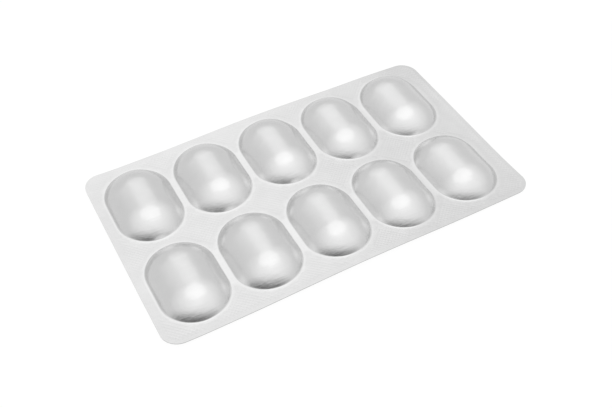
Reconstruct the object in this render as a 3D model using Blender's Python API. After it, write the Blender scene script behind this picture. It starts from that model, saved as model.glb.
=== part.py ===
# A sealed blister pack of ten tablets: a formed foil tray with its lidding foil sealed flat beneath.
# Lengths are in metres. Z is up, X runs along the pack, and each pocket's long way lies along Y.
# The pack lies on its lidding, and its origin is under the middle of the sheet, at the table.
# Tray, lidding and tablets are sealed together and can't be seen into, so the pack is one solid.

import math

import bmesh
import bpy
import numpy as np
from mathutils import Vector
from mathutils.geometry import delaunay_2d_cdt

# Pocket: a round-ended dome pressed up out of the tray
POCKET_COLUMNS = 5
POCKET_ROWS = 2
POCKET_WIDTH = 0.0192
POCKET_STRAIGHT = 0.0085
POCKET_HEIGHT = 0.0056
SHOULDER_HEIGHT = 0.0006
FOOT_FILLET_RADIUS = 0.0005
CROWN_CUT_SHARE = 0.82
CROWN_POWER = 1.9

# Sheet: the flange that joins the pockets, with the lidding sealed to it
SHEET_THICKNESS = 0.00025
COLUMN_WEB = 0.00156
ROW_WEB = 0.0024
LEFT_MARGIN = 0.0030
RIGHT_MARGIN = 0.0048
FRONT_MARGIN = 0.0033
REAR_MARGIN = 0.0026
SHEET_CORNER_RADIUS = 0.0048

# Bend: handling has left the sheet waved, and it rests on one level patch towards each end
HUMP_RISE = 0.0007
LEVEL_LENGTH = 0.0066
END_RUN = 0.0121
LEFT_END_LIFT = 0.00064
RIGHT_END_LIFT = 0.00018
EDGE_RUN = 0.0198
EDGE_LIFT = 0.00093
CORNER_RUN = 0.0154
REAR_RIGHT_CORNER_DROP = 0.00107

# Facets
END_STEPS = 14
STRAIGHT_STEPS = 4
FILLET_STEPS = 3
CROWN_STEPS = 6
CORNER_STEPS = 6
FACET_LENGTH = 0.0036
LIDDING_FACET_LENGTH = 0.0072
SLOPE_ROUNDS = 12
MERGE_DISTANCE = 0.0000001
SMOOTH_ANGLE = math.radians(40.0)

# Foil
FOIL_COLOUR = (0.75, 0.75, 0.75, 1.0)
FOIL_ROUGHNESS = 0.28

POCKET_LENGTH = POCKET_STRAIGHT + POCKET_WIDTH
SHEET_LENGTH = (
    LEFT_MARGIN + POCKET_COLUMNS * POCKET_WIDTH + (POCKET_COLUMNS - 1) * COLUMN_WEB + RIGHT_MARGIN
)
SHEET_WIDTH = FRONT_MARGIN + POCKET_ROWS * POCKET_LENGTH + (POCKET_ROWS - 1) * ROW_WEB + REAR_MARGIN
LEVEL_END = SHEET_LENGTH / 2 - END_RUN
LEVEL_START = LEVEL_END - LEVEL_LENGTH
LEVEL_HALF_WIDTH = SHEET_WIDTH / 2 - EDGE_RUN


def clear_scene():
    """Removes the objects that a new file starts with."""
    for obj in list(bpy.data.objects):
        bpy.data.objects.remove(obj, do_unlink=True)


def foil_material():
    """Satin aluminium foil."""
    material = bpy.data.materials.new("satin_foil")
    material.use_nodes = True
    shader = material.node_tree.nodes["Principled BSDF"]
    shader.inputs["Base Color"].default_value = FOIL_COLOUR
    shader.inputs["Metallic"].default_value = 1.0
    shader.inputs["Roughness"].default_value = FOIL_ROUGHNESS
    return material


def reach(distance, run):
    """How far into a run of the sheet a distance goes: 0 before it, 1 at its end."""
    return np.clip(distance / run, 0.0, 1.0)


def sheet_height(x, y):
    """Height of the lidding's underside over the table.

    A cosine-squared hump stands between the level patches. Each end lifts, and both long edges lift,
    with the square of the distance past the level patches. The rear right corner is bent back down.
    """
    hump = HUMP_RISE * np.cos(math.pi / 2 * reach(abs(x), LEVEL_START)) ** 2
    end_lift = np.where(x < 0, LEFT_END_LIFT, RIGHT_END_LIFT)
    ends = end_lift * reach(abs(x) - LEVEL_END, END_RUN) ** 2
    edges = EDGE_LIFT * reach(abs(y) - LEVEL_HALF_WIDTH, EDGE_RUN) ** 2
    to_corner = ((SHEET_LENGTH / 2 - x) + (SHEET_WIDTH / 2 - y)) / math.sqrt(2)
    corner = REAR_RIGHT_CORNER_DROP * reach(CORNER_RUN - to_corner, CORNER_RUN) ** 2
    return np.maximum(hump + ends + edges - corner, 0.0)


def arc_points(centre, radius, start, end, steps):
    """Points round an arc from one angle to another, without the last one."""
    angles = np.linspace(start, end, steps, endpoint=False)
    return centre + radius * np.column_stack([np.cos(angles), np.sin(angles)])


def line_points(start, end, steps):
    """Points along a straight line, without the last one."""
    shares = np.linspace(0, 1, steps, endpoint=False)[:, None]
    return start + (end - start) * shares


def sheet_outline():
    """The sheet's outer edge, anticlockwise from above: four straight sides and four round corners."""
    half = np.array([SHEET_LENGTH, SHEET_WIDTH]) / 2
    inner = half - SHEET_CORNER_RADIUS
    quarter = math.pi / 2
    points = []
    corner_signs = ((1, 1), (-1, 1), (-1, -1), (1, -1))
    for index, signs in enumerate(corner_signs):
        centre = inner * signs
        start = quarter * index
        points.append(arc_points(centre, SHEET_CORNER_RADIUS, start, start + quarter, CORNER_STEPS))
        outward = np.array([math.cos(start + quarter), math.sin(start + quarter)])
        leave = centre + SHEET_CORNER_RADIUS * outward
        arrive = inner * corner_signs[(index + 1) % 4] + SHEET_CORNER_RADIUS * outward
        steps = max(1, math.ceil(np.linalg.norm(arrive - leave) / FACET_LENGTH))
        points.append(line_points(leave, arrive, steps))
    return np.concatenate(points)


def pocket_stations():
    """Plan places round a pocket's foot, their outward directions, and where each meets the ridge.

    The foot is two half circles and two straights. The ridge is the line between the half circles'
    centres, and each station meets it at its nearest place.
    """
    radius = POCKET_WIDTH / 2
    ends = np.array([[0, POCKET_STRAIGHT / 2], [0, -POCKET_STRAIGHT / 2]])
    side = np.array([radius, 0])
    places = np.concatenate([
        arc_points(ends[0], radius, 0, math.pi, END_STEPS),
        line_points(ends[0] - side, ends[1] - side, STRAIGHT_STEPS),
        arc_points(ends[1], radius, math.pi, 2 * math.pi, END_STEPS),
        line_points(ends[1] + side, ends[0] + side, STRAIGHT_STEPS),
    ])
    ridge = np.clip(places, ends[1], ends[0])
    return places, (places - ridge) / radius, ridge


def crown_height(share):
    """Height over the flange of the crown's ring whose size is this share of the shoulder's.

    The crown is the top of a rounded form, (share * cut)^power + (height)^power = 1, cut off where
    the shoulder starts, so that the shoulder has a slope and no upright wall.
    """
    cut = (1 - CROWN_CUT_SHARE**CROWN_POWER) ** (1 / CROWN_POWER)
    rise = (POCKET_HEIGHT - SHOULDER_HEIGHT) / (1 - cut)
    level = (1 - (CROWN_CUT_SHARE * share) ** CROWN_POWER) ** (1 / CROWN_POWER)
    return SHOULDER_HEIGHT + rise * (level - cut)


def crown_steepness():
    """The crown's slope at the shoulder, times the shoulder's distance from the ridge."""
    cut = (1 - CROWN_CUT_SHARE**CROWN_POWER) ** (1 / CROWN_POWER)
    rise = (POCKET_HEIGHT - SHOULDER_HEIGHT) / (1 - cut)
    return rise * CROWN_CUT_SHARE**CROWN_POWER * cut ** (1 - CROWN_POWER)


def wall_runs(places, outward, ridge):
    """Slope angle of the wall at each station, and how far the shoulder lies inside the foot there.

    The wall rises from a concave fillet and meets the crown with no break in slope. Its run is
    radius * tan(angle / 2) + height / tan(angle), and the angle follows from the shoulder's place,
    so the two are worked out in turn until they settle.
    """
    run = np.full(len(places), FOOT_FILLET_RADIUS)
    for _ in range(SLOPE_ROUNDS):
        support = ((places - ridge) * outward).sum(axis=1) - run
        angle = np.arctan(crown_steepness() / support)
        run = FOOT_FILLET_RADIUS * np.tan(angle / 2) + SHOULDER_HEIGHT / np.tan(angle)
    return angle, run


def pocket_rings():
    """Rings of points up a pocket, from its foot to just under its ridge: plan places and heights."""
    places, outward, ridge = pocket_stations()
    angle, run = wall_runs(places, outward, ridge)
    rings = []
    for turn in np.linspace(0, 1, FILLET_STEPS + 1):
        inset = FOOT_FILLET_RADIUS * np.sin(angle * turn)
        height = FOOT_FILLET_RADIUS * (1 - np.cos(angle * turn))
        rings.append((places - outward * inset[:, None], height))
    shoulder = places - outward * run[:, None]
    for turn in np.linspace(0, 1, CROWN_STEPS, endpoint=False):
        share = math.cos(math.pi / 2 * turn)
        ring = ridge + (shoulder - ridge) * share
        rings.append((ring, np.full(len(places), crown_height(share))))
    return rings


def pocket_centres():
    """Plan places of the pockets' centres, row by row from the front."""
    first_x = -SHEET_LENGTH / 2 + LEFT_MARGIN + POCKET_WIDTH / 2
    first_y = -SHEET_WIDTH / 2 + FRONT_MARGIN + POCKET_LENGTH / 2
    return [
        np.array([
            first_x + column * (POCKET_WIDTH + COLUMN_WEB),
            first_y + row * (POCKET_LENGTH + ROW_WEB),
        ])
        for row in range(POCKET_ROWS)
        for column in range(POCKET_COLUMNS)
    ]


def in_pocket(place, centre):
    """Whether a plan place lies inside a pocket's foot."""
    off = place - centre
    spine = min(max(off[1], -POCKET_STRAIGHT / 2), POCKET_STRAIGHT / 2)
    return math.hypot(off[0], off[1] - spine) < POCKET_WIDTH / 2


def add_points(mesh, places, height):
    """Vertices over the given plan places, a height above the lidding's underside."""
    lifts = sheet_height(places[:, 0], places[:, 1]) + height
    return [mesh.verts.new((x, y, z)) for (x, y), z in zip(places, lifts)]


def join_rings(mesh, lower, upper):
    """A band of four-sided faces between two rings of as many vertices, facing outwards."""
    count = len(lower)
    for i in range(count):
        j = (i + 1) % count
        mesh.faces.new((lower[i], lower[j], upper[j], upper[i]))


def join_ridge(mesh, ring, ridge):
    """Faces between a ring and the ridge, where neighbours in the ring may meet the same vertex."""
    count = len(ring)
    for i in range(count):
        j = (i + 1) % count
        corners = [ring[i], ring[j], ridge[j], ridge[i]]
        mesh.faces.new(corners[:3] if ridge[i] is ridge[j] else corners)


def add_pocket(mesh, centre):
    """One pocket's dome from its foot to its ridge. Returns the vertices of its foot."""
    rings = pocket_rings()
    rows = [add_points(mesh, centre + places, SHEET_THICKNESS + height) for places, height in rings]
    for lower, upper in zip(rows, rows[1:]):
        join_rings(mesh, lower, upper)
    ridge, where = np.unique(pocket_stations()[2].round(8), axis=0, return_inverse=True)
    top = add_points(mesh, centre + ridge, SHEET_THICKNESS + POCKET_HEIGHT)
    join_ridge(mesh, rows[-1], [top[number] for number in where.ravel()])
    return rows[0]


def triangles_over(loops, loose):
    """Triangles between closed loops of vertices and loose ones, seen from above and anticlockwise.

    They fill the first loop, which is convex, and none crosses a side of a loop.
    """
    vertices = [v for loop in loops for v in loop] + loose
    places = [Vector((v.co.x, v.co.y)) for v in vertices]
    sides = []
    first = 0
    for loop in loops:
        sides += [(first + i, first + (i + 1) % len(loop)) for i in range(len(loop))]
        first += len(loop)
    result = delaunay_2d_cdt(places, sides, [], 0, MERGE_DISTANCE)
    sources = [origins[0] for origins in result[3]]
    for face in result[2]:
        corners = [vertices[sources[i]] for i in face]
        a, b, c = (v.co for v in corners)
        turn = (b.x - a.x) * (c.y - a.y) - (b.y - a.y) * (c.x - a.x)
        yield corners if turn > 0 else corners[::-1]


def add_flange(mesh, edge, feet, centres):
    """The sheet's upper face between its edge and the feet of the pockets."""
    for corners in triangles_over([edge, *feet], []):
        middle = np.mean([v.co.xy for v in corners], axis=0)
        if not any(in_pocket(middle, centre) for centre in centres):
            mesh.faces.new(corners)


def spread(start, end):
    """Evenly spaced values from one place to another, about a lidding facet apart."""
    steps = max(1, math.ceil((end - start) / LIDDING_FACET_LENGTH))
    return np.linspace(start, end, steps + 1)


def lidding_grid():
    """Plan places under the sheet on lines that take in the edges of the level patches."""
    far_x = SHEET_LENGTH / 2 - END_RUN / 2
    far_y = SHEET_WIDTH / 2 - EDGE_RUN / 4
    xs = np.concatenate([
        spread(-far_x, -LEVEL_END),
        spread(-LEVEL_START, LEVEL_START),
        spread(LEVEL_END, far_x),
    ])
    ys = np.concatenate([
        spread(-far_y, -LEVEL_HALF_WIDTH)[:-1],
        spread(-LEVEL_HALF_WIDTH, LEVEL_HALF_WIDTH),
        spread(LEVEL_HALF_WIDTH, far_y)[1:],
    ])
    return np.array([(x, y) for x in xs for y in ys])


def add_lidding(mesh, edge):
    """The sheet's underside, level over the two patches that it rests on."""
    inner = add_points(mesh, lidding_grid(), 0)
    for corners in triangles_over([edge], inner):
        mesh.faces.new(corners[::-1])


def blister_pack():
    """The whole pack as one closed body."""
    mesh = bmesh.new()
    outline = sheet_outline()
    upper_edge = add_points(mesh, outline, SHEET_THICKNESS)
    lower_edge = add_points(mesh, outline, 0)
    centres = pocket_centres()
    feet = [add_pocket(mesh, centre) for centre in centres]
    add_flange(mesh, upper_edge, feet, centres)
    add_lidding(mesh, lower_edge)
    join_rings(mesh, lower_edge, upper_edge)
    data = bpy.data.meshes.new("blister_pack")
    mesh.to_mesh(data)
    mesh.free()
    data.shade_smooth()
    data.set_sharp_from_angle(angle=SMOOTH_ANGLE)
    data.materials.append(foil_material())
    obj = bpy.data.objects.new("blister_pack", data)
    bpy.context.scene.collection.objects.link(obj)
    return obj


clear_scene()
blister_pack()
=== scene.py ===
# Looks of a sealed blister pack: the formed foil tray with its ten pockets, the sealing knurl
# between them, and the lidding foil beneath. Lengths are in metres, in the frame of the solid model.

import math

import bpy
import numpy as np
from mathutils import Matrix, Vector
from mathutils.geometry import delaunay_2d_cdt


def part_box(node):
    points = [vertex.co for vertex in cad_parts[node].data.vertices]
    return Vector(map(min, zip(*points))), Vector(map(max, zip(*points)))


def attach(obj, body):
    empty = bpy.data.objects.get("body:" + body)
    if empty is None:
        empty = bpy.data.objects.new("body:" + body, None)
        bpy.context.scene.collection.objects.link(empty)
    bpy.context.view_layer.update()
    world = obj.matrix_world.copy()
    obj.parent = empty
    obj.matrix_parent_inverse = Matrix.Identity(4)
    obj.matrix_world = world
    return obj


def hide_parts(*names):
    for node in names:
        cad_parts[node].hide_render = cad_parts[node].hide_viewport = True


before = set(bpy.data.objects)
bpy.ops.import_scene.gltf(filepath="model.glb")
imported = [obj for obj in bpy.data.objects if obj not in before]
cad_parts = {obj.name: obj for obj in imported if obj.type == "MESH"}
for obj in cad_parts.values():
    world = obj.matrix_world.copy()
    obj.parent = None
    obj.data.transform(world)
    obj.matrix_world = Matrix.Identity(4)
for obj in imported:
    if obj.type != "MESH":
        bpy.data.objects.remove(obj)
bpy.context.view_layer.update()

PACK_LOW, PACK_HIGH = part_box("blister_pack")

# Sheet
SHEET_LENGTH = PACK_HIGH.x - PACK_LOW.x
SHEET_WIDTH = PACK_HIGH.y - PACK_LOW.y
SHEET_THICKNESS = 0.00025
LIDDING_THICKNESS = 0.00005
SHEET_CORNER_RADIUS = 0.0048
LEFT_MARGIN = 0.0030
FRONT_MARGIN = 0.0033

# Pockets
POCKET_COLUMNS = 5
POCKET_ROWS = 2
POCKET_WIDTH = 0.0192
POCKET_STRAIGHT = 0.0085
POCKET_HEIGHT = 0.0056
SHOULDER_HEIGHT = 0.0006
FOOT_FILLET_RADIUS = 0.0005
CROWN_CUT_SHARE = 0.82
CROWN_POWER = 1.9
COLUMN_WEB = 0.00156
ROW_WEB = 0.0024

# Bend of the sheet
HUMP_RISE = 0.0007
LEVEL_LENGTH = 0.0066
END_RUN = 0.0121
LEFT_END_LIFT = 0.00064
RIGHT_END_LIFT = 0.00018
EDGE_RUN = 0.0198
EDGE_LIFT = 0.00093
CORNER_RUN = 0.0154
REAR_RIGHT_CORNER_DROP = 0.00107

# Sealing knurl: small flat-topped diamonds between two families of grooves
KNURL_PITCH = 0.0008
KNURL_GROOVE = 0.00028
KNURL_DEPTH = 0.000035
KNURL_RIM = 0.0004
POCKET_LID_SINK = 0.00012

# How finely the surfaces are cut
END_STATIONS = 52
SIDE_STATIONS = 16
FILLET_RINGS = 6
WALL_RINGS = 4
CROWN_RINGS = 24
LID_RINGS = 6
CORNER_STATIONS = 16
EDGE_SPACING = 0.0008
SLOPE_ROUNDS = 12
MERGE_DISTANCE = 0.0000001
RIDGE_DIGITS = 8
LATTICE_SPAN = 8192
SEAL_SPACING = 0.004
SHARP_ANGLE = math.radians(35.0)

# What Delaunay triangles cover: everything between the places, or what the fixed sides enclose
COVER_ALL = 0
COVER_ENCLOSED = 1

# Foil: lightness, roughness, the sizes and heights of what is uneven in it, and painted highlight and
# shade
TRAY_COLOUR = (0.75, 0.75, 0.75, 1.0)
TRAY_ROUGHNESS = 0.22
LIDDING_COLOUR = (0.72, 0.72, 0.72, 1.0)
LIDDING_ROUGHNESS = 0.34
NOISE_LOW = 0.3
NOISE_HIGH = 0.7
CLOUD_SIZE = 0.0045
CLOUD_HEIGHT = 0.00003
CLOUD_SHADE = 0.015
CLOUD_DETAIL = 2
GRAIN_SIZE = 0.0003
GRAIN_SHADE = 0.006
GRAIN_DETAIL = 1
LINE_WIDTH = 0.0005
LINE_LENGTH = 0.012
LINE_HEIGHT = 0.000009
LINE_ROUGHENING = 0.04
LINE_DETAIL = 1
# Painted highlight: how much lighter the colour is made along the pockets' feet
PAINTED_FOOT_HIGHLIGHT = 0.08
# Painted shade: how dark the colour is made on the cut edge
PAINTED_CUT_EDGE_SHADE = 0.8

# Camera: it looks down at the middle of the pack from the front left
LENS = 51.13
SENSOR_WIDTH = 36.0
VIEW_TARGET = (-0.00295, -0.00574, 0.0)
VIEW_DISTANCE = 0.24088
VIEW_ELEVATION = math.radians(48.29)
VIEW_AZIMUTH = math.radians(27.87)
VIEW_ROLL = math.radians(-1.0)
NEAR_CLIP = 0.01
FAR_CLIP = 20.0

# Tent: the light of its cloth at the sides and the top, and its dark opening
SIDE_LIGHT = 0.785
TOP_LIGHT = 1.14
TOP_AZIMUTH = math.radians(175.0)
TOP_ELEVATION = math.radians(76.0)
TOP_START = 0.3
OPENING_LIGHT = 0.08
OPENING_AZIMUTH = math.radians(206.0)
OPENING_FLATNESS = 2.6
OPENING_INNER = math.radians(28.0)
OPENING_OUTER = math.radians(74.0)
TENT_RADIUS = 1.5
TENT_RINGS = 16
TENT_SIDES = 64

# Lamps
OVERHEAD_AZIMUTH = math.radians(15.0)
OVERHEAD_ELEVATION = math.radians(86.0)
OVERHEAD_DISTANCE = 0.5
OVERHEAD_WIDTH = 0.56
OVERHEAD_HEIGHT = 0.44
OVERHEAD_RADIANCE = 0.18
FAR_AZIMUTH = math.radians(10.0)
FAR_ELEVATION = math.radians(42.0)
FAR_DISTANCE = 0.9
FAR_WIDTH = 0.76
FAR_HEIGHT = 0.56
FAR_RADIANCE = 0.14

# Floor: its glow as the camera sees it, and as the foil mirrors it
FLOOR_SIZE = 6.0
FLOOR_GAP = 0.00002
FLOOR_COLOUR = (0.95, 0.95, 0.95, 1.0)
FLOOR_GLOW_SHARE = 0.92
FLOOR_SEEN = 1.03
FLOOR_MIRRORED = 0.82

POCKET_LENGTH = POCKET_STRAIGHT + POCKET_WIDTH
POCKET_RADIUS = POCKET_WIDTH / 2
LEVEL_END = SHEET_LENGTH / 2 - END_RUN
LEVEL_START = LEVEL_END - LEVEL_LENGTH
LEVEL_HALF_WIDTH = SHEET_WIDTH / 2 - EDGE_RUN
DIAMOND_CORNERS = np.array([(0, 0), (1, 0), (1, 1), (0, 1)])
QUARTER = math.pi / 2


def reach(distance, run):
    """How far into a run of the sheet a distance goes: 0 before it, 1 at its end."""
    return np.clip(distance / run, 0.0, 1.0)


def sheet_height(x, y):
    """Height of the lidding's underside over the table.

    A cosine-squared hump between the level patches, plus lifts at the ends and the long edges that
    grow with the square of the distance, minus a squared drop at the rear right corner.
    """
    hump = HUMP_RISE * np.cos(QUARTER * reach(abs(x), LEVEL_START)) ** 2
    end_lift = np.where(x < 0, LEFT_END_LIFT, RIGHT_END_LIFT)
    ends = end_lift * reach(abs(x) - LEVEL_END, END_RUN) ** 2
    edges = EDGE_LIFT * reach(abs(y) - LEVEL_HALF_WIDTH, EDGE_RUN) ** 2
    to_corner = ((SHEET_LENGTH / 2 - x) + (SHEET_WIDTH / 2 - y)) / math.sqrt(2)
    corner = REAR_RIGHT_CORNER_DROP * reach(CORNER_RUN - to_corner, CORNER_RUN) ** 2
    return np.maximum(hump + ends + edges - corner, 0.0)


def arc(centre, radius, start, end, steps):
    """Centre plus radius times the cosine and sine of evenly spaced angles, without the last."""
    angles = np.linspace(start, end, steps, endpoint=False)
    return centre + radius * np.column_stack([np.cos(angles), np.sin(angles)])


def line(start, end, steps):
    """Start plus even shares of the way to the end, without the last."""
    shares = np.linspace(0, 1, steps, endpoint=False)[:, None]
    return start + (end - start) * shares


def sheet_edge():
    """The sheet's edge, anticlockwise from above: four quarter arcs joined by straight lines."""
    inner = np.array([SHEET_LENGTH, SHEET_WIDTH]) / 2 - SHEET_CORNER_RADIUS
    signs = np.array([(1, 1), (-1, 1), (-1, -1), (1, -1)])
    parts = []
    for index in range(4):
        centre = inner * signs[index]
        start = QUARTER * index
        end = start + QUARTER
        parts.append(arc(centre, SHEET_CORNER_RADIUS, start, end, CORNER_STATIONS))
        outward = SHEET_CORNER_RADIUS * np.array([math.cos(end), math.sin(end)])
        leave = centre + outward
        arrive = inner * signs[(index + 1) % 4] + outward
        steps = math.ceil(np.linalg.norm(arrive - leave) / EDGE_SPACING)
        parts.append(line(leave, arrive, steps))
    return np.concatenate(parts)


def pocket_foot():
    """Places round a pocket's foot, their outward directions, and where each meets the ridge.

    The foot is two half circles and two straights. The ridge is the line between the half circles'
    centres, and each station meets it at its nearest place.
    """
    ends = np.array([[0, POCKET_STRAIGHT / 2], [0, -POCKET_STRAIGHT / 2]])
    side = np.array([POCKET_RADIUS, 0])
    places = np.concatenate([
        arc(ends[0], POCKET_RADIUS, 0, math.pi, END_STATIONS),
        line(ends[0] - side, ends[1] - side, SIDE_STATIONS),
        arc(ends[1], POCKET_RADIUS, math.pi, 2 * math.pi, END_STATIONS),
        line(ends[1] + side, ends[0] + side, SIDE_STATIONS),
    ])
    ridge = np.clip(places, ends[1], ends[0])
    return places, (places - ridge) / POCKET_RADIUS, ridge


def ridge_places():
    """The different places along a pocket's ridge, and the one that each station meets."""
    ridge = pocket_foot()[2].round(RIDGE_DIGITS)
    places, meets = np.unique(ridge, axis=0, return_inverse=True)
    return places, meets.ravel()


def pocket_centres():
    """Plan places of the pockets' centres, row by row from the front."""
    first = np.array([
        -SHEET_LENGTH / 2 + LEFT_MARGIN + POCKET_RADIUS,
        -SHEET_WIDTH / 2 + FRONT_MARGIN + POCKET_LENGTH / 2,
    ])
    pitch = np.array([POCKET_WIDTH + COLUMN_WEB, POCKET_LENGTH + ROW_WEB])
    row, column = np.divmod(np.arange(POCKET_ROWS * POCKET_COLUMNS), POCKET_COLUMNS)
    return first + pitch * np.column_stack([column, row])


def foot_distance(places):
    """Distance from plan places to the nearest pocket's foot, less than zero inside it.

    It is the distance to the pocket's straight ridge, less the pocket's radius.
    """
    off = places[:, None, :] - pocket_centres()[None, :, :]
    past = np.maximum(abs(off[..., 1]) - POCKET_STRAIGHT / 2, 0)
    return (np.hypot(off[..., 0], past) - POCKET_RADIUS).min(axis=1)


def edge_distance(places):
    """Distance from plan places to the sheet's edge, more than zero inside it."""
    inner = np.array([SHEET_LENGTH, SHEET_WIDTH]) / 2 - SHEET_CORNER_RADIUS
    past = abs(places) - inner
    outside = np.hypot(*np.maximum(past, 0).T)
    return SHEET_CORNER_RADIUS - outside - np.minimum(past.max(axis=1), 0)


def crown_values():
    """Height of the crown's form at the cut, its scale, and its slope there times its radius."""
    cut = (1 - CROWN_CUT_SHARE**CROWN_POWER) ** (1 / CROWN_POWER)
    rise = (POCKET_HEIGHT - SHOULDER_HEIGHT) / (1 - cut)
    steepness = rise * CROWN_CUT_SHARE**CROWN_POWER * cut ** (1 - CROWN_POWER)
    return cut, rise, steepness


def dome():
    """A pocket's surface: plan offsets from its centre, heights of their rings, and the ridge's height.

    The offsets are rings by stations, from the first inside the foot to the last below the ridge.
    Foot fillet: inset = radius * sin(a), height = radius * (1 - cos(a)), for a up to the wall's angle.
    Wall: a straight slope at that angle, up to the shoulder. Crown: the shoulder drawn in towards the
    ridge to a share s, at the height where (s * cut share)^power + height^power = 1, so that its
    slope at the shoulder is the wall's. That angle and the run of fillet and wall depend on each
    other, so both are worked out in rounds.
    """
    places, outward, _ = pocket_foot()
    cut, rise, steepness = crown_values()
    run = FOOT_FILLET_RADIUS
    for _ in range(SLOPE_ROUNDS):
        angle = math.atan(steepness / (POCKET_RADIUS - run))
        run = FOOT_FILLET_RADIUS * math.tan(angle / 2) + SHOULDER_HEIGHT / math.tan(angle)
    turns = angle * np.linspace(0, 1, FILLET_RINGS + 1)[1:]
    fillet_inset = FOOT_FILLET_RADIUS * np.sin(turns)
    fillet_height = FOOT_FILLET_RADIUS * (1 - np.cos(turns))
    climb = np.linspace(0, 1, WALL_RINGS + 1)[1:]
    wall_inset = fillet_inset[-1] + (run - fillet_inset[-1]) * climb
    wall_height = fillet_height[-1] + (SHOULDER_HEIGHT - fillet_height[-1]) * climb
    shares = np.cos(QUARTER * np.linspace(0, 1, CROWN_RINGS + 1)[1:-1])
    level = (1 - (CROWN_CUT_SHARE * shares) ** CROWN_POWER) ** (1 / CROWN_POWER)
    crown_inset = POCKET_RADIUS - (POCKET_RADIUS - run) * shares
    crown_height = SHOULDER_HEIGHT + rise * (level - cut)
    inset = np.concatenate([fillet_inset, wall_inset, crown_inset])
    height = np.concatenate([fillet_height, wall_height, crown_height])
    offsets = places - outward * inset[:, None, None]
    return offsets, SHEET_THICKNESS + height, SHEET_THICKNESS + POCKET_HEIGHT


def lid_dent():
    """The lidding over a pocket, as dome gives the pocket: offsets, heights, the ridge's height.

    It rises by sink * (1 - s^2)^2, where s is the share of the way out from the ridge.
    """
    places, outward, _ = pocket_foot()
    shares = np.linspace(1, 0, LID_RINGS + 1)[1:-1]
    offsets = places - outward * (POCKET_RADIUS * (1 - shares))[:, None, None]
    return offsets, POCKET_LID_SINK * (1 - shares**2) ** 2, POCKET_LID_SINK


def knurl_cells():
    """The diamonds that lie wholly on the flange, as pairs of lattice numbers.

    Diamond (i, j) spans i to i + 1 and j to j + 1 pitches along the two diagonals of the plan.
    """
    half_diagonal = math.hypot(SHEET_LENGTH, SHEET_WIDTH) / 2
    count = math.ceil(half_diagonal / KNURL_PITCH)
    i, j = np.meshgrid(np.arange(-count, count), np.arange(-count, count), indexing="ij")
    cells = np.column_stack([i.ravel(), j.ravel()])
    kept = np.full(len(cells), True)
    for step in DIAMOND_CORNERS:
        corner = diagonal_place(cells + step)
        kept &= foot_distance(corner) > KNURL_RIM
        kept &= edge_distance(corner) > KNURL_RIM
    return cells[kept]


def diagonal_place(numbers):
    """Plan place of a point given in pitches along the two diagonals."""
    a, b = numbers[:, 0] * KNURL_PITCH, numbers[:, 1] * KNURL_PITCH
    return np.column_stack([a - b, a + b]) / math.sqrt(2)


def diagonal_numbers(places):
    """The reverse of diagonal_place."""
    a = (places[:, 0] + places[:, 1]) / math.sqrt(2)
    b = (places[:, 1] - places[:, 0]) / math.sqrt(2)
    return np.column_stack([a, b]) / KNURL_PITCH


def cell_keys(numbers):
    """One whole number for each pair of lattice numbers."""
    return numbers[:, 0] * LATTICE_SPAN + numbers[:, 1]


def flange_plan():
    """The flange seen from above: places, depths, plain triangles and knurl faces.

    The first places are the sheet's edge, then the feet of the pockets, then the knurl's corners and
    the corners of its flat tops. Each diamond is four sloping sides round a flat top.
    """
    edge = sheet_edge()
    foot = pocket_foot()[0]
    feet = (pocket_centres()[:, None, :] + foot[None, :, :]).reshape(-1, 2)
    cells = knurl_cells()
    corner_numbers = (cells[:, None, :] + DIAMOND_CORNERS).reshape(-1, 2)
    _, firsts, where, uses = np.unique(
        cell_keys(corner_numbers), return_index=True, return_inverse=True, return_counts=True
    )
    corners = diagonal_place(corner_numbers[firsts])
    first_corner = len(edge) + len(feet)
    outer = where.reshape(-1, 4) + first_corner
    middles = diagonal_place(cells + 0.5)
    shrink = 1 - KNURL_GROOVE / KNURL_PITCH
    tops = middles[:, None, :] + (corners[outer - first_corner] - middles[:, None, :]) * shrink
    inner = first_corner + len(corners) + np.arange(4 * len(cells)).reshape(-1, 4)
    sides = [
        np.column_stack([outer[:, k], outer[:, (k + 1) % 4], inner[:, (k + 1) % 4], inner[:, k]])
        for k in range(4)
    ]
    knurl = np.concatenate([*sides, inner])
    loops = [np.arange(len(edge))]
    for pocket in range(POCKET_ROWS * POCKET_COLUMNS):
        loops.append(len(edge) + pocket * len(foot) + np.arange(len(foot)))
    rims = [np.column_stack([loop, np.roll(loop, -1)]) for loop in loops]
    borders = np.concatenate([outer[:, [k, (k + 1) % 4]] for k in range(4)])
    ordered = np.sort(borders, axis=1)
    _, first, times = np.unique(ordered, axis=0, return_index=True, return_counts=True)
    fixed = np.concatenate([*rims, borders[first[times == 1]]])
    plan = np.concatenate([edge, feet, corners])
    triangles = plain_triangles(plan, fixed, cell_keys(cells))
    depths = np.zeros(len(plan))
    depths[first_corner:] = np.where(uses == 4, KNURL_DEPTH, 0)
    places = np.concatenate([plan, tops.reshape(-1, 2)])
    depths = np.concatenate([depths, np.zeros(4 * len(cells))])
    return places, depths, triangles, knurl


def covering(plan, fixed, extent):
    """Delaunay triangles over plan places, facing up, that keep the fixed sides; twice their areas."""
    corners = [Vector(place) for place in plan]
    _, _, faces, origins, _, _ = delaunay_2d_cdt(corners, fixed.tolist(), [], extent, MERGE_DISTANCE)
    sources = np.array([numbers[0] for numbers in origins])
    triangles = sources[np.array(faces)]
    a, b, c = (plan[triangles[:, k]] for k in range(3))
    turn = (b[:, 0] - a[:, 0]) * (c[:, 1] - a[:, 1]) - (b[:, 1] - a[:, 1]) * (c[:, 0] - a[:, 0])
    triangles[turn < 0] = triangles[turn < 0][:, ::-1]
    return triangles, abs(turn)


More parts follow.
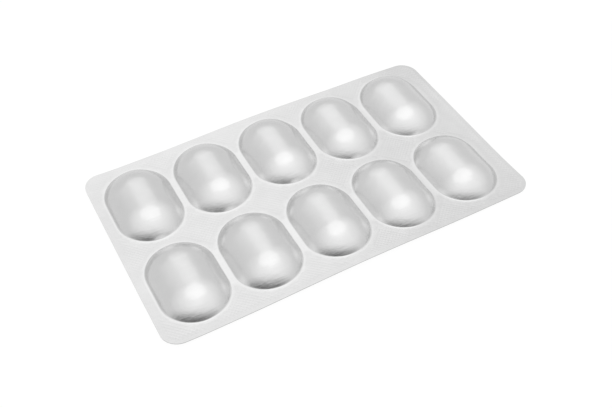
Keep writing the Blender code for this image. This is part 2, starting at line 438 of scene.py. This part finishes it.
def plain_triangles(plan, fixed, kept_keys):
    """Triangles over the flange that keep the fixed sides, outside pockets and knurl."""
    triangles, area = covering(plan, fixed, COVER_ALL)
    middle = plan[triangles].mean(axis=1)
    on_flange = (foot_distance(middle) > -MERGE_DISTANCE) & (area > MERGE_DISTANCE**2)
    on_flange &= edge_distance(middle) > 0
    in_knurl = np.isin(cell_keys(np.floor(diagonal_numbers(middle)).astype(int)), kept_keys)
    return triangles[on_flange & ~in_knurl]


def ring_faces(rows):
    """Four-sided faces between rings of as many vertices; rows holds each ring's numbers."""
    return np.column_stack([
        rows[:-1].ravel(),
        np.roll(rows[:-1], -1, axis=1).ravel(),
        np.roll(rows[1:], -1, axis=1).ravel(),
        rows[1:].ravel(),
    ])


def ridge_faces(ring, ridge):
    """Faces from a ring in to a ridge, three-sided where two neighbours meet one vertex of it."""
    faces = ring_faces(np.stack([ring, ridge]))
    single = faces[:, 2] == faces[:, 3]
    return [faces[~single], faces[single][:, :3]]


def on_sheet(places, height):
    """Points over plan places at a height above the lidding's underside."""
    return np.column_stack([places, sheet_height(places[:, 0], places[:, 1]) + height])


def new_object(mesh, material):
    """An object in the scene for a mesh with its material."""
    mesh.materials.append(material)
    obj = bpy.data.objects.new(mesh.name, mesh)
    bpy.context.scene.collection.objects.link(obj)
    return obj


def new_piece(name, points, cut_faces, smooth_faces, flat_faces, painted_highlight_points, material):
    """A piece of the pack from a point array and face arrays, smooth and flat shaded.

    The cut faces are smooth too, and carry 1 in the attribute cut_edge, the others 0, which paints
    shade on them. The points that get the painted highlight at the pockets' feet carry 1 in its
    attribute, the others 0.
    """
    mesh = bpy.data.meshes.new(name)
    smooth = [face for faces in [cut_faces, *smooth_faces] for face in faces.tolist()]
    mesh.from_pydata(points.tolist(), [], smooth + flat_faces.tolist())
    shading = np.arange(len(mesh.polygons)) < len(smooth)
    mesh.polygons.foreach_set("use_smooth", shading)
    mesh.set_sharp_from_angle(angle=SHARP_ANGLE)
    # The cut faces are marked here for painted shade on the cut edge.
    cut = mesh.attributes.new("cut_edge", "FLOAT", "FACE")
    cut.data.foreach_set("value", (np.arange(len(shading)) < len(cut_faces)).astype(float))
    # The foot points are marked here for the painted highlight at the pockets' feet.
    rim = mesh.attributes.new("painted_foot_highlight", "FLOAT", "POINT")
    rim.data.foreach_set("value", np.isin(np.arange(len(points)), painted_highlight_points).astype(float))
    mesh.update()
    piece = new_object(mesh, material)
    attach(piece, "root")
    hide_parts("blister_pack")


def foil_layer(name, plan, flange_heights, pocket, upwards, material):
    """A closed layer of foil: flange, pockets, cut edge, and the plane where the layers are sealed.

    A pocket is given as dome gives it. All heights are above the lidding's underside. A layer that
    faces upwards gets a painted highlight at its feet, and the other has all its faces turned over.
    """
    places, _, triangles, knurl = plan
    offsets, heights, ridge_height = pocket
    rings, stations = offsets.shape[:2]
    ridge, meets = ridge_places()
    centres = pocket_centres()
    pockets = len(centres)
    edge_ring = np.arange(len(sheet_edge()))
    edge = places[edge_ring]
    inside = (centres[:, None, None, :] + offsets[None]).reshape(-1, 2)
    ridges = (centres[:, None, :] + ridge[None]).reshape(-1, 2)
    sealed, seal_faces = seal_plane(edge)
    parts = [
        on_sheet(places, flange_heights),
        on_sheet(inside, np.tile(np.repeat(heights, stations), pockets)),
        on_sheet(ridges, ridge_height),
        on_sheet(edge, LIDDING_THICKNESS),
        sealed,
    ]
    first_inside, first_ridge, first_seal = np.cumsum([len(part) for part in parts[:3]])
    feet = len(edge) + np.arange(pockets * stations).reshape(pockets, 1, stations)
    within = first_inside + np.arange(len(inside)).reshape(pockets, rings, stations)
    rows = np.concatenate([feet, within], axis=1)
    cut_faces = ring_faces(np.stack([first_seal + edge_ring, edge_ring]))
    faces = [triangles]
    for index in range(pockets):
        faces.append(ring_faces(rows[index]))
        faces += ridge_faces(rows[index][-1], first_ridge + index * len(ridge) + meets)
    faces.append(first_seal + seal_faces[:, ::-1])
    turn = 1 if upwards else -1
    new_piece(
        name,
        np.concatenate(parts),
        cut_faces[:, ::turn],
        [part[:, ::turn] for part in faces],
        knurl[:, ::turn],
        # The tray's foot points get the painted highlight.
        feet.ravel() if upwards else [],
        material,
    )


def seal_plane(edge):
    """Where the tray is sealed on the lidding: a coarse grid of points, and triangles over them.

    The triangles join them to the sheet's edge too. Inside a pocket's foot the points are higher by
    the lidding's sink, so that they stay above its underside.
    """
    x = np.arange(-SHEET_LENGTH / 2, SHEET_LENGTH / 2, SEAL_SPACING) + SEAL_SPACING / 2
    y = np.arange(-SHEET_WIDTH / 2, SHEET_WIDTH / 2, SEAL_SPACING) + SEAL_SPACING / 2
    grid = np.array(np.meshgrid(x, y)).reshape(2, -1).T
    inner = grid[edge_distance(grid) > SEAL_SPACING / 2]
    plan = np.concatenate([edge, inner])
    loop = np.arange(len(edge))
    fixed = np.column_stack([loop, np.roll(loop, -1)])
    triangles, _ = covering(plan, fixed, COVER_ENCLOSED)
    height = LIDDING_THICKNESS + np.where(foot_distance(inner) < 0, POCKET_LID_SINK, 0)
    return on_sheet(inner, height), triangles


def formed_tray(plan, material):
    """The tray: the upper layer, with its knurl pressed in from above and ten domes."""
    depths = plan[1]
    foil_layer("formed_tray", plan, SHEET_THICKNESS - depths, dome(), True, material)


def lidding_foil(plan, material):
    """The lidding: the lower layer, knurled as the tray is, and drawn in a little over each pocket."""
    depths = plan[1]
    foil_layer("lidding_foil", plan, depths, lid_dent(), False, material)


def combined(tree, operation, first, second):
    """Two values put together by an operation, such as their sum, product or the larger one."""
    node = tree.nodes.new("ShaderNodeMath")
    node.operation = operation
    tree.links.new(first, node.inputs[0])
    tree.links.new(second, node.inputs[1])
    return node.outputs["Value"]


def with_vector(tree, operation, place, vector, result="Vector"):
    """A place taken together with a fixed vector, such as divided by it or its dot product."""
    node = tree.nodes.new("ShaderNodeVectorMath")
    node.operation = operation
    node.inputs[1].default_value = vector
    tree.links.new(place, node.inputs[0])
    return node.outputs[result]


def laid_out(tree, value, start, end, low, high):
    """A value that runs from start to end, laid out from low to high and held beyond them."""
    node = tree.nodes.new("ShaderNodeMapRange")
    node.inputs["From Min"].default_value = start
    node.inputs["From Max"].default_value = end
    node.inputs["To Min"].default_value = low
    node.inputs["To Max"].default_value = high
    tree.links.new(value, node.inputs["Value"])
    return node.outputs["Result"]


def noise(tree, place, size, detail):
    """Noise over the places, whose patches have about the given size along each axis."""
    texture = tree.nodes.new("ShaderNodeTexNoise")
    texture.inputs["Scale"].default_value = 1.0
    texture.inputs["Detail"].default_value = detail
    tree.links.new(with_vector(tree, "DIVIDE", place, size), texture.inputs["Vector"])
    return texture.outputs["Fac"]


def spread(tree, value, low, high):
    """A noise value laid out from low to high."""
    return laid_out(tree, value, NOISE_LOW, NOISE_HIGH, low, high)


def marking(tree, attribute, shade):
    """A shade where the attribute is 1, and 1 where it is 0."""
    mark = tree.nodes.new("ShaderNodeAttribute")
    mark.attribute_name = attribute
    return laid_out(tree, mark.outputs["Fac"], 0, 1, 1, shade)


def foil_grain_and_painted_light():
    """What is uneven in the foil (clouds, fine grain and drawing lines along X), with a painted
    highlight at the pockets' feet and painted shade on the cut edge.

    Clouds and grain are noise, lines are noise stretched along X. Clouds and grain make the colour a
    little lighter and darker, lines make it rougher, and clouds and lines lift it a little. The
    attribute that marks the pockets' feet makes the colour lighter there, a painted highlight, and
    the attribute cut_edge makes it darker on the cut faces, painted shade.
    """
    group = bpy.data.node_groups.new("foil_grain_and_painted_light", "ShaderNodeTree")
    group.interface.new_socket("Colour", in_out="INPUT", socket_type="NodeSocketColor")
    group.interface.new_socket("Roughness", in_out="INPUT", socket_type="NodeSocketFloat")
    group.interface.new_socket("Colour", in_out="OUTPUT", socket_type="NodeSocketColor")
    group.interface.new_socket("Roughness", in_out="OUTPUT", socket_type="NodeSocketFloat")
    group.interface.new_socket("Normal", in_out="OUTPUT", socket_type="NodeSocketVector")
    given = group.nodes.new("NodeGroupInput")
    made = group.nodes.new("NodeGroupOutput")
    place = group.nodes.new("ShaderNodeTexCoord").outputs["Object"]
    clouds = noise(group, place, (CLOUD_SIZE, CLOUD_SIZE, CLOUD_SIZE), CLOUD_DETAIL)
    grain = noise(group, place, (GRAIN_SIZE, GRAIN_SIZE, GRAIN_SIZE), GRAIN_DETAIL)
    lines = noise(group, place, (LINE_LENGTH, LINE_WIDTH, LINE_WIDTH), LINE_DETAIL)
    cloud_shade = spread(group, clouds, 1 - CLOUD_SHADE, 1 + CLOUD_SHADE)
    grain_shade = spread(group, grain, 1 - GRAIN_SHADE, 1 + GRAIN_SHADE)
    uneven = combined(group, "MULTIPLY", cloud_shade, grain_shade)
    # Painted highlight at the pockets' feet and painted shade on the cut edge, multiplied into the
    # colour.
    painted_rim_highlight = marking(group, "painted_foot_highlight", 1 + PAINTED_FOOT_HIGHLIGHT)
    painted_edge_shade = marking(group, "cut_edge", PAINTED_CUT_EDGE_SHADE)
    painted_light = combined(group, "MULTIPLY", painted_rim_highlight, painted_edge_shade)
    shade = combined(group, "MULTIPLY", uneven, painted_light)
    tinted = group.nodes.new("ShaderNodeVectorMath")
    tinted.operation = "SCALE"
    group.links.new(given.outputs["Colour"], tinted.inputs["Vector"])
    group.links.new(shade, tinted.inputs["Scale"])
    group.links.new(tinted.outputs["Vector"], made.inputs["Colour"])
    roughening = spread(group, lines, 0, LINE_ROUGHENING)
    roughness = combined(group, "ADD", given.outputs["Roughness"], roughening)
    group.links.new(roughness, made.inputs["Roughness"])
    line_height = spread(group, lines, 0, LINE_HEIGHT)
    height = combined(group, "ADD", line_height, spread(group, clouds, 0, CLOUD_HEIGHT))
    bump = group.nodes.new("ShaderNodeBump")
    bump.inputs["Distance"].default_value = 1.0
    group.links.new(height, bump.inputs["Height"])
    group.links.new(bump.outputs["Normal"], made.inputs["Normal"])
    return group


def foil_material(name, group, colour, roughness):
    """Satin aluminium foil with the shared unevenness, a painted highlight at the pockets' feet and
    painted shade on the cut edge.
    """
    material = bpy.data.materials.new(name)
    material.use_nodes = True
    tree = material.node_tree
    shader = tree.nodes["Principled BSDF"]
    shader.inputs["Metallic"].default_value = 1.0
    grain = tree.nodes.new("ShaderNodeGroup")
    grain.node_tree = group
    grain.inputs["Colour"].default_value = colour
    grain.inputs["Roughness"].default_value = roughness
    tree.links.new(grain.outputs["Colour"], shader.inputs["Base Color"])
    tree.links.new(grain.outputs["Roughness"], shader.inputs["Roughness"])
    tree.links.new(grain.outputs["Normal"], shader.inputs["Normal"])
    return material


def background_mask(tree):
    """1 for rays from the camera, and for rays reflected or let through by a smooth surface."""
    path = tree.nodes.new("ShaderNodeLightPath").outputs
    seen = combined(tree, "MAXIMUM", path["Is Camera Ray"], path["Is Glossy Ray"])
    return combined(tree, "MAXIMUM", seen, path["Is Transmission Ray"])


def floor():
    """A plain white floor under the pack, which keeps the pack's shadow."""
    half = FLOOR_SIZE / 2
    corners = [(-half, -half), (half, -half), (half, half), (-half, half)]
    mesh = bpy.data.meshes.new("floor")
    mesh.from_pydata([(x, y, -FLOOR_GAP) for x, y in corners], [], [(0, 1, 2, 3)])
    obj = new_object(mesh, floor_paint())


def floor_paint():
    """Matt white, which mostly glows evenly where the camera or a mirroring surface sees it."""
    material = bpy.data.materials.new("floor")
    material.use_nodes = True
    tree = material.node_tree
    tree.nodes.clear()
    matt = tree.nodes.new("ShaderNodeBsdfDiffuse")
    matt.inputs["Color"].default_value = FLOOR_COLOUR
    glow = tree.nodes.new("ShaderNodeEmission")
    camera_ray = tree.nodes.new("ShaderNodeLightPath").outputs["Is Camera Ray"]
    level = laid_out(tree, camera_ray, 0, 1, FLOOR_MIRRORED, FLOOR_SEEN)
    tree.links.new(level, glow.inputs["Strength"])
    share = laid_out(tree, background_mask(tree), 0, 1, 0, FLOOR_GLOW_SHARE)
    mix = tree.nodes.new("ShaderNodeMixShader")
    tree.links.new(share, mix.inputs["Fac"])
    tree.links.new(matt.outputs["BSDF"], mix.inputs[1])
    tree.links.new(glow.outputs["Emission"], mix.inputs[2])
    output = tree.nodes.new("ShaderNodeOutputMaterial")
    tree.links.new(mix.outputs["Shader"], output.inputs["Surface"])
    return material


def surround():
    """A white backdrop all round, for rays that pass the tent."""
    world = bpy.data.worlds.new("backdrop")
    bpy.context.scene.world = world
    world.use_nodes = True
    tree = world.node_tree
    background = tree.nodes["Background"]
    background.inputs["Color"].default_value = (1, 1, 1, 1)
    level = laid_out(tree, background_mask(tree), 0, 1, SIDE_LIGHT, 1)
    tree.links.new(level, background.inputs["Strength"])


def tent():
    """The cloth tent round the pack: a half sphere, brightest overhead, with a dark opening.

    Its points are radius times (sin(zenith) * sin(azimuth), sin(zenith) * cos(azimuth), cos(zenith)).
    """
    zenith = np.linspace(0, QUARTER, TENT_RINGS + 1)[1:, None]
    azimuth = np.linspace(0, 2 * math.pi, TENT_SIDES, endpoint=False)[None, :]
    across = np.sin(zenith)
    points = TENT_RADIUS * np.stack(np.broadcast_arrays(
        across * np.sin(azimuth),
        across * np.cos(azimuth),
        np.cos(zenith),
    ), axis=-1).reshape(-1, 3)
    rows = np.arange(len(points)).reshape(TENT_RINGS, TENT_SIDES)
    top = [[0, 0, TENT_RADIUS]]
    cap = ridge_faces(rows[0], np.full(TENT_SIDES, len(points)))[1]
    faces = ring_faces(rows).tolist() + cap.tolist()
    mesh = bpy.data.meshes.new("tent")
    mesh.from_pydata(np.concatenate([points, top]).tolist(), [], faces)
    obj = new_object(mesh, tent_cloth())
    obj.visible_camera = False


def tent_cloth():
    """Glowing cloth: even at the sides, brighter towards its top, which leans to the front.

    From a start on, its light grows with the cosine of the angle from that top. The opening's share is
    a smooth step of the cosine of the angle from its middle, where the camera looks in, with heights
    stretched first so that the opening is wider than it is high.
    """
    material = bpy.data.materials.new("tent_cloth")
    material.use_nodes = True
    material.cycles.emission_sampling = "NONE"
    tree = material.node_tree
    tree.nodes.clear()
    place = tree.nodes.new("ShaderNodeTexCoord").outputs["Object"]
    top = direction(TOP_AZIMUTH, TOP_ELEVATION)
    height = with_vector(tree, "DOT_PRODUCT", place, top, "Value")
    start = TENT_RADIUS * TOP_START
    plain = laid_out(tree, height, start, TENT_RADIUS, SIDE_LIGHT, TOP_LIGHT)
    stretched = with_vector(tree, "MULTIPLY", place, (1, 1, OPENING_FLATNESS))
    towards = tree.nodes.new("ShaderNodeVectorMath")
    towards.operation = "NORMALIZE"
    tree.links.new(stretched, towards.inputs[0])
    opening = direction(OPENING_AZIMUTH, 0)
    cosine = with_vector(tree, "DOT_PRODUCT", towards.outputs["Vector"], opening, "Value")
    share = laid_out(tree, cosine, math.cos(OPENING_OUTER), math.cos(OPENING_INNER), 0, 1)
    share.node.interpolation_type = "SMOOTHSTEP"
    level = laid_out(tree, share, 0, 1, 0, OPENING_LIGHT)
    tree.links.new(plain, level.node.inputs["To Min"])
    glow = tree.nodes.new("ShaderNodeEmission")
    tree.links.new(level, glow.inputs["Strength"])
    output = tree.nodes.new("ShaderNodeOutputMaterial")
    tree.links.new(glow.outputs["Emission"], output.inputs["Surface"])
    return material


def direction(azimuth, elevation):
    """Unit vector towards an azimuth, turned from +Y towards +X, and an elevation."""
    return Vector((
        math.sin(azimuth) * math.cos(elevation),
        math.cos(azimuth) * math.cos(elevation),
        math.sin(elevation),
    ))


def softbox(name, azimuth, elevation, distance, width, height, radiance):
    """An oval lamp that faces the pack. Its power is pi times its radiance times its area."""
    lamp = bpy.data.lights.new(name, "AREA")
    lamp.shape = "ELLIPSE"
    lamp.size = width
    lamp.size_y = height
    lamp.energy = radiance * math.pi * width * height * math.pi / 4
    obj = bpy.data.objects.new(name, lamp)
    towards = direction(azimuth, elevation)
    turn = towards.to_track_quat("Z", "Y")
    obj.matrix_world = Matrix.Translation(towards * distance) @ turn.to_matrix().to_4x4()
    bpy.context.scene.collection.objects.link(obj)


def camera():
    """The camera, at its distance from the target along the line of view."""
    data = bpy.data.cameras.new("camera")
    data.lens = LENS
    data.sensor_width = SENSOR_WIDTH
    data.clip_start = NEAR_CLIP
    data.clip_end = FAR_CLIP
    obj = bpy.data.objects.new("camera", data)
    forward = direction(VIEW_AZIMUTH, -VIEW_ELEVATION)
    place = Vector(VIEW_TARGET) - forward * VIEW_DISTANCE
    turn = forward.to_track_quat("-Z", "Y").to_matrix() @ Matrix.Rotation(VIEW_ROLL, 3, "Z")
    obj.matrix_world = Matrix.Translation(place) @ turn.to_4x4()
    bpy.context.scene.collection.objects.link(obj)
    bpy.context.scene.camera = obj


flange = flange_plan()
grain = foil_grain_and_painted_light()
formed_tray(flange, foil_material("satin_foil", grain, TRAY_COLOUR, TRAY_ROUGHNESS))
lidding_foil(flange, foil_material("lidding_foil", grain, LIDDING_COLOUR, LIDDING_ROUGHNESS))
floor()
surround()
tent()
softbox(
    "overhead_softbox",
    OVERHEAD_AZIMUTH,
    OVERHEAD_ELEVATION,
    OVERHEAD_DISTANCE,
    OVERHEAD_WIDTH,
    OVERHEAD_HEIGHT,
    OVERHEAD_RADIANCE,
)
softbox(
    "far_softbox",
    FAR_AZIMUTH,
    FAR_ELEVATION,
    FAR_DISTANCE,
    FAR_WIDTH,
    FAR_HEIGHT,
    FAR_RADIANCE,
)
camera()
bpy.context.scene.view_settings.view_transform = "Standard"
